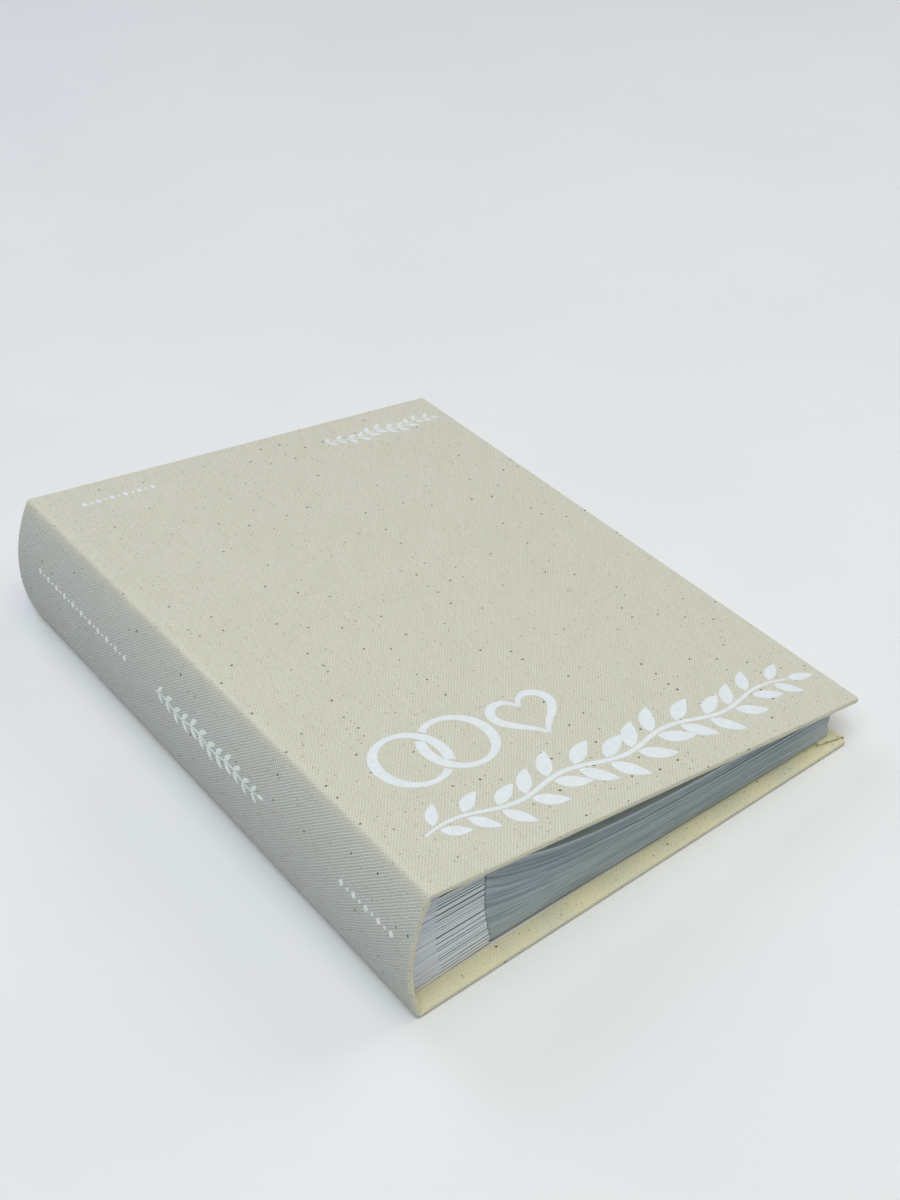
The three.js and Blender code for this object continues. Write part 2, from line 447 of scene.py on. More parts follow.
def book_cloth():
    """Undyed cotton canvas: cream threads of uneven shade, and husk specks. The turn-ins are yellower, and
    the ridge yellower and lighter, partly wear and partly a painted highlight. The spine is tinted cooler, a
    painted cool light, and its weave is deeper, with painted shade in its hollows."""
    s = Shader("book_cloth", Sheen_Weight=0.10, Sheen_Roughness=0.6, Specular_IOR_Level=0.2)
    height, over = weave_height(s)
    warp = s.noise(s.flat((1 / WARP_PITCH, 60)), 1)
    weft = s.noise(s.flat((60, 1 / WEFT_PITCH), (3, 5)), 1)
    yarn = s.node("Mix", {0: over, 2: weft, 3: warp}).outputs[0]
    colour = s.mix(over, (0.645, 0.638, 0.538), (0.77, 0.763, 0.662))
    colour = s.mix(s.between(yarn, 0.3, 0.7, 0.26, 0.0), colour, (0.52, 0.49, 0.375))
    cloudy = s.between(s.noise(s.flat((30, 30), (9, 2)), 4), 0.3, 0.7, 0.0, 0.12)
    colour = s.mix(cloudy, colour, (0.76, 0.745, 0.67))
    tone = s.tone()
    # Painted shade: the weave's hollows are darkened, most of all on the spine, where the light grazes it.
    weave_hollow_painted_shade = s.times(s.between(height, 0.1, 0.6, 1.0, 0.0), s.between(tone, SPINE_TONE, 0, 0.75, 0.3))
    colour = s.mix(weave_hollow_painted_shade, colour, (0.33, 0.305, 0.225))
    # Yellower where the tone is above 0: on the turn-ins, and over the ridge, partly wear and partly a
    # painted highlight.
    colour = s.mix(s.between(tone, 0, 1.4, 0.0, 0.75), colour, (0.86, 0.795, 0.48))
    # Painted cool light: the spine is tinted bluer, for the cooler light that falls on it.
    colour = s.mix(s.between(tone, SPINE_TONE, 0, 1.0, 0.0), colour, (1.06, 1.115, 1.215), "MULTIPLY")
    for spacing, low, high, share, seed, strength, husk in HUSKS:
        speck = flecks(s, spacing * MM, low * MM, high * MM, share, seed)
        colour = s.mix(s.times(speck, strength), colour, husk)
    fuzz = s.noise(s.flat((2600, 2600)))
    relief = s.math("ADD", height, s.times(fuzz, 0.12))
    normal = s.bump(relief, s.between(tone, SPINE_TONE, -SPINE_TONE, 1.0, 0.4), 0.5 * MM)
    slubs = s.noise(s.flat((60, 420)))
    normal = s.bump(slubs, 0.2, 0.3 * MM, normal)
    return s.use(colour, normal, s.between(height, 0.2, 0.9, 0.97, 0.86))


def white_ink(name, dark, light):
    """Matte screen-print ink: smooth, with a little of the weave showing through."""
    s = Shader(name, Specular_IOR_Level=0.35)
    height, _ = weave_height(s)
    patchy = s.between(s.noise(s.flat((260, 260)), 4), 0.3, 0.7)
    colour = s.mix(patchy, dark, light)
    colour = s.mix(s.between(height, 0.05, 0.35, 0.15, 0.0), colour, (0.62, 0.63, 0.59))
    return s.use(colour, s.bump(height, 0.2, 0.12 * MM), s.between(patchy, 0, 1, 0.62, 0.5))


def endpaper_stock():
    """Uncoated paper: faint fibres and a slight cloudiness."""
    s = Shader("endpaper", Specular_IOR_Level=0.3)
    fibres = s.noise(s.flat((900, 220)), 5, 0.65)
    cloud = s.noise(s.flat((45, 45), (4, 4)), 3)
    shade = s.between(s.together(fibres, cloud), 0.35, 0.65)
    colour = s.mix(shade, (0.79, 0.78, 0.74), (0.86, 0.85, 0.815))
    return s.use(colour, s.bump(fibres, 0.12, 0.05 * MM), s.between(fibres, 0.3, 0.7, 0.7, 0.85))


def greyboard():
    """Millboard: grey-brown, with fibres and pale scraps."""
    s = Shader("greyboard", Specular_IOR_Level=0.2)
    fibres = s.noise(s.in_place((700, 700, 700)), 5, 0.7)
    scraps = s.noise(s.in_place((2400, 1500, 2400)))
    colour = s.mix(s.between(fibres, 0.35, 0.65), (0.23, 0.2, 0.155), (0.36, 0.325, 0.265))
    colour = s.mix(s.between(scraps, 0.62, 0.72), colour, (0.52, 0.49, 0.43))
    return s.use(colour, s.bump(fibres, 0.3, 0.1 * MM), s.between(fibres, 0.3, 0.7, 0.98, 0.85))


def crash_cloth():
    """The open-weave lining inside the spine."""
    s = Shader("crash_cloth", Specular_IOR_Level=0.2)
    split = s.node("SeparateXYZ", {0: s.in_place((2400, 2400, 2400))})
    bars = s.times(s.math("SINE", split.outputs[1]), s.math("SINE", split.outputs[2]))
    mesh = s.between(s.math("ABSOLUTE", bars), 0.1, 0.6)
    colour = s.mix(mesh, (0.43, 0.38, 0.27), (0.72, 0.68, 0.56))
    return s.use(colour, s.bump(mesh, 0.5, 0.2 * MM), s.between(mesh, 0, 1, 0.95, 0.8))


def stub_card(name, dark, light):
    """A stub's card, or what covers it: of uneven shade, with darker streaks along the sheet."""
    s = Shader(name, Specular_IOR_Level=0.4)
    streak = s.noise(s.flat((60, 4200)), 2, 0.6)
    fibres = s.noise(s.flat((1400, 1400)), 3)
    colour = s.mix(s.tone(), dark, light)
    colour = s.mix(s.between(streak, 0.35, 0.55, 0.25, 0.0), colour, (0.34, 0.42, 0.5))
    return s.use(colour, s.bump(fibres, 0.15, 0.05 * MM), s.between(streak, 0.3, 0.7, 0.62, 0.42))


def pocket_film(name, dark, light, gloss):
    """The leaves' film, drawn opaque: of uneven shade, with streaks and soft ripples."""
    s = Shader(name, Specular_IOR_Level=0.5)
    streak = s.noise(s.flat((16, 900)), 4, 0.6)
    cloud = s.noise(s.flat((55, 55), (2, 7)))
    uneven = s.between(s.together(streak, cloud, 0.65), 0.36, 0.64, -0.3, 0.3)
    colour = s.mix(s.math("ADD", uneven, s.tone(), clamp=True), dark, light)
    ripple = s.noise(s.flat((38, 14)), 2, 0.4)
    return s.use(colour, s.bump(ripple, 0.2, 1.2 * MM), s.between(cloud, 0.3, 0.7, gloss, gloss + 0.12))


def table_top():
    """A plain pale table."""
    s = Shader("table_top", Specular_IOR_Level=0.25)
    cloud = s.noise(s.in_place((5, 5, 5)), 4)
    grain = s.noise(s.in_place((900, 900, 900)))
    colour = s.mix(s.between(cloud, 0.3, 0.7), (0.8, 0.812, 0.825), (0.835, 0.842, 0.85))
    return s.use(colour, s.bump(grain, 0.05, 0.1 * MM), s.between(cloud, 0.3, 0.7, 0.6, 0.5))


cloth = book_cloth()
cover_ink = white_ink("white_print", (0.735, 0.78, 0.81), (0.79, 0.83, 0.86))
# Brighter on the spine than on the cover, to match how the photo's print looks on each: painted light, making
# up for the weaker light that falls on the spine.
spine_ink_painted_brighter = white_ink("white_print_spine_painted_brighter", (0.93, 0.955, 0.95), (0.99, 1.0, 0.985))
endpaper_white = endpaper_stock()
card = stub_card("stub_card", (0.68, 0.745, 0.81), (0.99, 1.0, 1.0))
backing = stub_card("stub_backing", (0.6, 0.64, 0.72), (0.93, 0.955, 1.0))
# Slate film on the stubs' faces, kept dark as painted shade in the gaps between the cards.
film_wrap_and_gap_shade = stub_card("stub_film_wrap", (0.28, 0.36, 0.43), (0.42, 0.52, 0.61))
# Slate grey where the films' edges stack, and pale over an insert.
film_edge = pocket_film("pocket_film", (0.17, 0.225, 0.258), (0.53, 0.615, 0.655), 0.28)
film_insert = pocket_film("pocket_insert", (0.7, 0.715, 0.725), (0.84, 0.845, 0.84), 0.16)

# ---------------- the cloth case

# The angles at which a rounded edge is drawn.
QUARTER_TURN = [pi / 2 * k / 4 for k in range(5)]


def case_sections(thickness):
    """The wrap over an edge of that thickness: (inset from the edge, depth, cloth used), from the outer face
    round to the end of the turn-in."""
    r = EDGE_RADIUS
    places = [(r - r * sin(a), r - r * cos(a)) for a in QUARTER_TURN]
    places.append((EDGE_HOLLOW, thickness / 2))
    places += [(r - r * cos(a), thickness - r + r * sin(a)) for a in QUARTER_TURN]
    places += [(r + (TURN_IN - r) * share, thickness) for share in (0.2, 0.5, 0.8, 1.0)]
    # The first place is the outer face's own last one.
    return [(*place, used) for place, used in zip(places, run_lengths(places))][1:]


def near_edge(low, high):
    """Places from low to high, close together by the groove near the high end."""
    groove = [high - k * MM for k in (2.4, 1.7, 1.1, 0.5, 0)]
    return steps(low, high - 3.2 * MM, 6 * MM) + groove


def place_steps(half):
    """Places along a half of the case: close together at the seam and over the ridge."""
    near = 9 * MM
    places = [0, 0.4 * MM] + steps(3 * MM, half.spine_length - near, 4 * MM)[:-1]
    places += steps(half.spine_length - near, half.ridge_end + near, 0.7 * MM)[:-1]
    return places + near_edge(half.ridge_end + near, half.length - EDGE_RADIUS)


def face_tone(half, s, y):
    """The cloth's tone on its outer face: unevenly above 0 over the ridge, partly wear and partly a painted
    highlight, and SPINE_TONE on the spine, a painted cool light.
    """
    ridge = 1 - smooth((abs(s - (half.spine_length + half.ridge_end) / 2) - 1 * MM) / (3.5 * MM))
    on_spine = 1 - smooth((s - half.spine_length + 7 * MM) / (6 * MM))
    return ridge * (0.22 + 0.3 * noise.noise(Vector((s * 50, y * 50, 3.0)))) + SPINE_TONE * on_spine


def corner_flap(b, half, end):
    """Where the fore-edge's turn-in is folded over that of the tail (end -1) or the head (end 1): a double
    thickness that stands proud, rolls over the fore-edge, and sinks into the turn-in further along."""
    r, t = EDGE_RADIUS, cover_thickness
    # Each place has its inset from the fore-edge, its depth, and the direction out of the cloth there.
    section = [(0.0, t * share, -1.0, 0.0) for share in (0.4, 0.6)]
    for a in QUARTER_TURN:
        section.append((r - r * cos(a), t - r + r * sin(a), -cos(a), sin(a)))
    section += [(inset, t, 0.0, 1.0) for inset in steps(r + 1.5 * MM, FLAP_WIDTH, 3 * MM)]
    columns = []
    for (inset, depth, out_s, out_w), used in zip(section, run_lengths(section)):
        across = smooth(inset / FLAP_WIDTH)
        first = FLAP_CORNER_INSET + (FLAP_END_INSET - FLAP_CORNER_INSET) * across
        column = []
        for share in steps(0, 1, 0.1):
            y_inset = first + (FLAP_LENGTH - first) * share
            rise = FLAP_RISE * (1.0 - 0.9 * smooth(share))
            s = half.length - inset - out_s * rise
            y = end * (half_height - y_inset)
            flat = (half.side * (half.length + used), y)
            column.append((b.vert(half.place(s, y, depth + out_w * rise), FLAP_TONE), flat))
        columns.append(column)
    faces = b.grid(columns)
    s_middle, y_middle = half.length - FLAP_WIDTH / 2, end * (half_height - FLAP_LENGTH / 2)
    b.turn_out(faces, half.place(s_middle, y_middle, t), in_frame(half.inward))


def wrapped_cloth(half):
    """Half of the book's cloth: from the middle of the spine over one cover, wrapped round its edges."""
    b = Builder()
    r = EDGE_RADIUS
    s_end, y_end = half.length - r, half_height - r
    s_places = place_steps(half)
    y_places = near_edge(0, y_end)
    y_places = [-y for y in reversed(y_places[1:])] + y_places

    def corner(s, y, co, tone):
        """A corner of the mesh, with its place on the flat sheet."""
        return b.vert(co, tone), (half.side * s, y)

    def on_face(s, y):
        return corner(s, y, half.place(s, y, half.lift(s, y)), face_tone(half, s, y))

    face = [[on_face(s, y) for y in y_places] for s in s_places]
    b.grid(face)

    # The edge is followed along the tail, the fore-edge and the head, and round the two corners between.
    # Each place on it has the direction outwards, and the face's own corner there.
    fan = QUARTER_TURN[1:]
    rim = [(s, -y_end, (0, -1), column[0]) for s, column in zip(s_places, face)]
    rim += [(s_end, -y_end, (sin(a), -cos(a)), face[-1][0]) for a in fan]
    rim += [(s_end, y, (1, 0), first) for y, first in zip(y_places, face[-1])]
    rim += [(s_end, y_end, (cos(a), sin(a)), face[-1][-1]) for a in fan]
    rim += [(s, y_end, (0, 1), column[-1]) for s, column in reversed(list(zip(s_places, face)))]

    columns = []
    for s, y, (out_s, out_y), first in rim:
        column = [first]
        at_corner = s == s_end and abs(y) == y_end
        thickness = half.thickness(s)
        for inset, depth, used in case_sections(thickness):
            back = inset - r
            if back <= 0:
                place = (s - out_s * back, y - out_y * back)
            elif at_corner:
                # Past the rounding, the turn-ins of a corner meet on its diagonal.
                place = (s - back, y - copysign(back, y))
            elif out_s > 0:
                limit = y_end - back
                place = (s - back, max(-limit, min(limit, y)))
            else:
                place = (min(s, s_end - back), y - out_y * back)
            uneven = 0.5 * noise.noise(Vector((s * 60, y * 60, 7.0)))
            tone = max(0, 0.12 + 0.72 * smooth(depth / thickness) + uneven)
            co = half.place(max(0, place[0]), place[1], depth)
            column.append(corner(s + out_s * used, y + out_y * used, co, tone))
        columns.append(column)
    b.grid(columns)
    b.weld()
    middle = half.place(half.on_cover(cover_width / 2), 0)
    b.turn_out(place=middle, direction=-in_frame(half.inward))
    for end in (-1, 1):
        corner_flap(b, half, end)
    return b


def case_half(side, half, *replaced):
    """That half as a piece of cloth, from the middle of the spine over the joint on to the cover."""
    obj = wrapped_cloth(half).finish(f"{side}_case_cloth", [cloth])
    thicken(obj, CLOTH_THICKNESS, -1)
    depth = cover_thickness / 2
    start = half.place(half.spine_length - 1.5 * MM, 0, depth)
    end = half.place(half.ridge_end + 2.5 * MM, 0, depth)
    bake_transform(obj)
    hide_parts(*replaced)


case_half("front", front_half, "front_cloth", "spine_cloth")
case_half("back", back_half, "back_cloth")

# ---------------- printing on the cloth

# Where the printed motifs lie, in mm: across from the front ridge, and up from the book's tail.
RINGS_AT, RING_RADIUS, RING_SPACING = (42.5, 68.5), 16.1, 24.5
HEART_AT, HEART_WIDTH = (105.0, 67.5), 30.0
COVER_GARLAND = (19.0, 240.0, 27.5)
COVER_DOTS = (20.0, 62.0, 312.0)
COVER_SPRIG = (163.0, 239.0, 308.0)
# On the spine: the distance up from the middle of its arc, and each motif's ends along the book.
SPINE_LINE = 7.5
SPINE_DOTS_HEAD, SPINE_GARLAND, SPINE_DOTS_TAIL = (307.0, 219.0), (193.0, 103.0), (48.0, 10.0)


class Printing:
    """White shapes printed on the case, in mm. A stroke is a line of places with a width at each."""

    def __init__(self, to_case):
        self.b, self.to_case = Builder(), to_case

    def stroke(self, points, widths):
        rings = []
        for k, (x, y) in enumerate(points):
            before, after = points[max(0, k - 1)], points[min(len(points) - 1, k + 1)]
            along = Vector((after[0] - before[0], after[1] - before[1])).normalized()
            across = Vector((-along.y, along.x)) * widths[k] / 2
            ring = []
            for share, rise in ((-1, 1), (-0.33, 1), (0.33, 1), (1, 1), (1, -0.6), (-1, -0.6)):
                case_s, case_y = self.to_case(x + across.x * share, y + across.y * share)
                depth = front_half.lift(case_s, case_y) - rise * PRINT_THICKNESS
                ring.append((self.b.vert(front_half.place(case_s, case_y, depth)), (case_s, case_y)))
            rings.append([*ring, ring[0]])
        self.b.grid(rings)
        for ring in (rings[0], rings[-1]):
            self.b.face(ring[:-1])

    def dot(self, x, y, radius):
        turns = [pi * k / 8 for k in range(9)]
        points = [(x - radius * cos(a), y) for a in turns]
        self.stroke(points, [max(0.25, 2 * radius * sin(a)) for a in turns])

    def diamond(self, x, y, width, height):
        self.stroke([(x - width / 2, y), (x, y), (x + width / 2, y)], [0.25, height, 0.25])

    def leaf(self, x, y, angle, length, width, curl):
        """An almond leaf from its foot at x, y, curling to the left as it goes."""
        points, widths = [], []
        for k in range(13):
            t = k / 12
            forward, aside = length * t, curl * length * t * t
            points.append((
                x + forward * cos(angle) - aside * sin(angle),
                y + forward * sin(angle) + aside * cos(angle),
            ))
            widths.append(max(0.3, width * sin(pi * t**0.85) ** 0.8))
        self.stroke(points, widths)

    def finish(self, name, body):
        self.b.turn_out()
        obj = self.b.finish(name, [spine_ink_painted_brighter if body == "spine" else cover_ink])
        obj.data.set_sharp_from_angle(angle=SHARP_ANGLE)
        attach(obj, body)


def on_front_cover(x, y):
    return front_half.on_cover(x * MM), y * MM - half_height


def on_spine(from_head):
    """Places on the spine's line of print, which reads from the head to the tail."""
    return lambda x, y: ((SPINE_LINE + y) * MM, (from_head - x) * MM - half_height)


def ring(printing, x, y, gap_at):
    """A ring with broad sides and thin top and bottom, broken at gap_at where another ring passes over it."""
    half_gap = radians(11.5)
    turns = [gap_at + half_gap + (2 * pi - 2 * half_gap) * k / 64 for k in range(65)]
    points = [(x + RING_RADIUS * cos(a), y + RING_RADIUS * sin(a)) for a in turns]
    printing.stroke(points, [2.6 + 2.6 * cos(a) ** 2 for a in turns])


def linked_rings(printing):
    x, y = RINGS_AT
    crossing = acos(RING_SPACING / 2 / RING_RADIUS)
    ring(printing, x, y, -crossing)
    ring(printing, x + RING_SPACING, y, pi - crossing)


def heart(printing):
    """A heart of two strokes, broad at its shoulders and thin where they meet."""
    x, y = HEART_AT
    size = HEART_WIDTH / 32
    for side in (-1, 1):
        points, widths = [], []
        for k in range(41):
            t = 0.09 + (pi - 0.16) * k / 40
            across = 16 * sin(t) ** 3
            up = 13 * cos(t) - 5 * cos(2 * t) - 2 * cos(3 * t) - cos(4 * t)
            points.append((x + side * (across * size + 0.35), y + up * size + 1.5))
            widths.append(1.5 + 3.0 * sin(t) ** 2)
        printing.stroke(points, widths)


def garland(printing, start, end, middle, leaves, length, wave, waves, bold):
    """A waving stem from start to end, with that many pairs of leaves and a last leaf at its tip."""
    span = end - start
    reach = span - length * 0.8

    def stem(t):
        return start + reach * t, middle + wave * sin(2 * pi * waves * t)

    turns = [k / 96 for k in range(97)]
    widths = [bold * (0.35 + 0.65 * sin(pi * (0.04 + 0.92 * t)) ** 0.6) for t in turns]
    printing.stroke([stem(t) for t in turns], widths)
    for k in range(leaves):
        t = (k + 0.35) / leaves
        x, y = stem(t)
        slope = atan2(stem(t + 0.004)[1] - y, stem(t + 0.004)[0] - x)
        size = 0.72 + 0.28 * sin(pi * t)
        for side in (-1, 1):
            angle = slope + side * radians(50)
            foot = bold / 2 + length * 0.05
            foot_x, foot_y = x + foot * cos(angle) * 1.2, y + foot * sin(angle) * 1.2
            printing.leaf(foot_x, foot_y, angle, length * size, length * 0.42 * size, -0.16 * side)
    x, y = stem(1.0)
    slope = atan2(y - stem(0.99)[1], x - stem(0.99)[0])
    printing.leaf(x + length * 0.06, y, slope, length * 0.74, length * 0.3, 0.0)


def dotted_line(printing, start, end, middle, count):
    """Diamonds and dots by turns."""
    for k in range(count):
        x = start + (end - start) * (k + 0.5) / count
        if k % 2:
            printing.dot(x, middle, 0.8)
        else:
            printing.diamond(x, middle, 3.0, 3.9)


def print_on(body, to_case, name, motif, *where, **shape):
    """Prints a motif as a piece of its own, on the cloth that rides that body."""
    printing = Printing(to_case)
    motif(printing, *where, **shape)
    printing.finish(name, body)


def print_case():
    cover = ("front_cover", on_front_cover)
    print_on(*cover, "cover_rings_print", linked_rings)
    print_on(*cover, "cover_heart_print", heart)
    large = {"leaves": 14, "length": 17.5, "wave": 2.6, "waves": 3.5, "bold": 2.3}
    print_on(*cover, "cover_garland_print", garland, *COVER_GARLAND, **large)
    print_on(*cover, "cover_dots_print", dotted_line, *COVER_DOTS, 11)
    small = {"leaves": 11, "length": 6.6, "wave": 1.5, "waves": 2.5, "bold": 0.75}
    print_on(*cover, "cover_sprig_print", garland, *COVER_SPRIG, **small)
    head, tail = SPINE_GARLAND
    slim = {"leaves": 12, "length": 6.4, "wave": 0.9, "waves": 3, "bold": 0.8}
    print_on("spine", on_spine(head), "spine_garland_print", garland, 0, head - tail, 0, **slim)
    for name, (head, tail), count in (("head", SPINE_DOTS_HEAD, 21), ("tail", SPINE_DOTS_TAIL, 9)):
        print_on("spine", on_spine(head), f"spine_dots_print_{name}", dotted_line, 0, head - tail, 0, count)


print_case()

# ---------------- endpapers


def endpaper(end, half, rise_at_tip):
    """The sheet pasted inside a cover, folded back at the joint and glued along the block's outermost stub,
    which has moved away from the cover by rise_at_tip at its tip."""
    b = Builder()
    depth = cover_thickness + ENDPAPER_THICKNESS
    strip_depth = 4.02 * MM
    fold = 6.1 * MM
    stub_end = 43 * MM
    bend = (strip_depth - depth) / 2
    section = [(u, depth) for u in steps(cover_width - ENDPAPER_MARGIN, fold + 1 * MM, 9 * MM)]
    for k in range(10):
        angle = pi * k / 9
        section.append((fold - 1.1 * MM * sin(angle), depth + bend - bend * cos(angle)))
    strip = stub_end - fold
    section += [(fold + strip * share, strip_depth + rise_at_tip * share) for share in steps(0.1, 1, 0.1)]
    y_limit = half_height - ENDPAPER_MARGIN
    columns = []
    lengths = run_lengths(section)
    for (u, w), used in zip(section, lengths):
        p = half.joint + half.along * u + half.inward * w
        columns.append([(b.vert(in_frame(p, y)), (used, y)) for y in steps(-y_limit, y_limit, 12 * MM)])
    b.turn_out(b.grid(columns))
    obj = b.finish(f"{end}_endpaper_sheet", [endpaper_white])
    thicken(obj, ENDPAPER_THICKNESS, 0)
    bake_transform(obj)
    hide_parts(f"{end}_endpaper")


endpaper("front", front_half, 0.0)
endpaper("back", back_half, 1.95 * MM)

# ---------------- the block: stubs and pocket leaves

rng = random.Random(11)


def spine_inside(z, depth):
    """x at that height, at a depth in from the spine's outer face."""
    return spine_centre.x - sqrt((spine_radius - depth) ** 2 - (z - spine_centre.y) ** 2)


def stub_line(i):
    """Leaf i's place among the stubs in cross-section: (its root beside the spine, the stubs' tips)."""
    tip = flat_xz(joint_at[f"{leaf_names[i]}_hinge"])
    z = block_low.z + (block_high.z - block_low.z) * (i + 0.5) / leaf_count
    return Vector((spine_inside(z, cover_thickness + 0.2 * MM), z)), tip


def cap(b, ring, count, slot=lambda k: 0):
    """Closes the end of a strip whose ring of corners goes along one side and back along the other."""
    for k in range(count - 1):
        b.face([ring[k], ring[k + 1], ring[-k - 2], ring[-k - 1]], slot(k))


def binding_stub(b, i):
    """The card between leaves i and i + 1. The cards are pressed together at their roots, and a little apart
    where the leaves' films run between them."""
    (root_a, tip_a), (root_b, tip_b) = stub_line(i), stub_line(i + 1)
    shares = (0, 0.03, 0.2, FILM_ROOT - 0.02, FILM_ROOT + 0.02, 0.7, 0.97, 1.0)
    loose = rng.uniform(0.51, 0.65)
    beside = (0.04 if i % 2 else -0.04) + rng.uniform(-0.06, 0.06)
    ends = block_high.y + rng.uniform(-0.35, 0.15) * MM
    # Painted shade: the upper stubs are made darker, as under the front cover's shadow.
    shade = rng.uniform(0.25, 1.0) - UPPER_STUB_PAINTED_SHADE * (i / leaf_count) ** 2
    seed = rng.random() * 50
    rings = []
    for y in steps(-ends, ends, 16 * MM):
        ring = []
        for side in (-1, 1):
            for share in shares if side < 0 else reversed(shares):
                under, over = root_a.lerp(tip_a, share), root_b.lerp(tip_b, share)
                tight = smooth((FILM_ROOT + 0.02 - share) / 0.04)
                thick = (0.78 * tight + loose * (1 - tight)) * (0.72 if share == 0 else 1.0)
                wave = (1 - tight) * (beside + 0.07 * noise.noise(Vector((y * 22, seed, share * 1.5))))
                p = (under + over) / 2 + (over - under) * (wave + side * thick / 2)
                tone = shade * (1 - tight) + (0.15 + 0.5 * shade) * tight
                # The knife has cut the ends at a slant, so that they face up a little.
                cut_y = copysign(abs(y) - (CUT_SLANT if side > 0 and abs(y) == ends else 0), y)
                # Across its thickness the sheet runs on, so that a cut edge shows the card's own streaks.
                flat = (share * 0.04, y + seed + side * 0.0005)
                ring.append((b.vert(in_frame(p, cut_y), tone), flat))
        rings.append(ring)

    def slot(k):
        """Backing paper up to where the films begin, on both sides of the card, and bare card beyond."""
        return int(min(k, 2 * len(shares) - 2 - k) < shares.index(FILM_ROOT + 0.02))

    # Beyond there the card's faces are wrapped in the pockets' film, and only its cut ends are bare. The
    # film's dark slate also stands in for the shade in the gaps between the cards: painted shade.
    b.grid([[*ring, ring[0]] for ring in rings], lambda i, j: slot(j) or 2)
    for ring in (rings[0], rings[-1]):
        cap(b, ring, len(shares), slot)


def binding_stubs():
    """Card stubs standing side by side out of the glue along the spine."""
    b = Builder()
    for i in range(leaf_count - 1):
        binding_stub(b, i)
    b.turn_out()
    obj = b.finish("binding_stubs", [card, backing, film_wrap_and_gap_shade])
    obj.data.set_sharp_from_angle(angle=SHARP_ANGLE)
    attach(obj, "spine")


def glue_material():
    """Clear glue, yellowed, with a slightly lumpy surface."""
    s = Shader("binding_glue", Specular_IOR_Level=0.5)
    blobs = s.noise(s.in_place((160, 160, 160)), 3)
    colour = s.mix(s.between(blobs, 0.35, 0.65), (0.6, 0.56, 0.44), (0.72, 0.69, 0.59))
    return s.use(colour, s.bump(blobs, 0.4, 0.4 * MM), s.between(blobs, 0.3, 0.7, 0.3, 0.55))


# The glue's depths in from the spine's outer face.
GLUE_FROM, GLUE_TO = cover_thickness + 0.12 * MM, cover_thickness + 2.2 * MM


def binding_glue():
    """The hardened glue that holds the stubs' roots to the spine."""
    b = Builder()
    rings = []
    y_end = block_high.y - 0.8 * MM
    heights = steps(block_low.z + 0.3 * MM, block_high.z - 0.3 * MM, 4 * MM)
    for y in steps(-y_end, y_end, 12 * MM):
        ring = []
        for z in heights:
            ring.append((b.vert(Vector((spine_inside(z, GLUE_FROM), y, z))), (z, y)))
        for z in reversed(heights):
            lumps = 0.5 * MM * noise.noise(Vector((y * 30, z * 60, 1.0)))
            ring.append((b.vert(Vector((spine_inside(z, GLUE_TO) + lumps, y, z))), (z, y)))
        rings.append([*ring, ring[0]])
    b.grid(rings)
    for ring in (rings[0][:-1], rings[-1][:-1]):
        cap(b, ring, len(heights))
    b.turn_out()
    obj = b.finish("binding_glue", [glue_material()])
    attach(obj, "spine")
    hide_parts("binding_block")


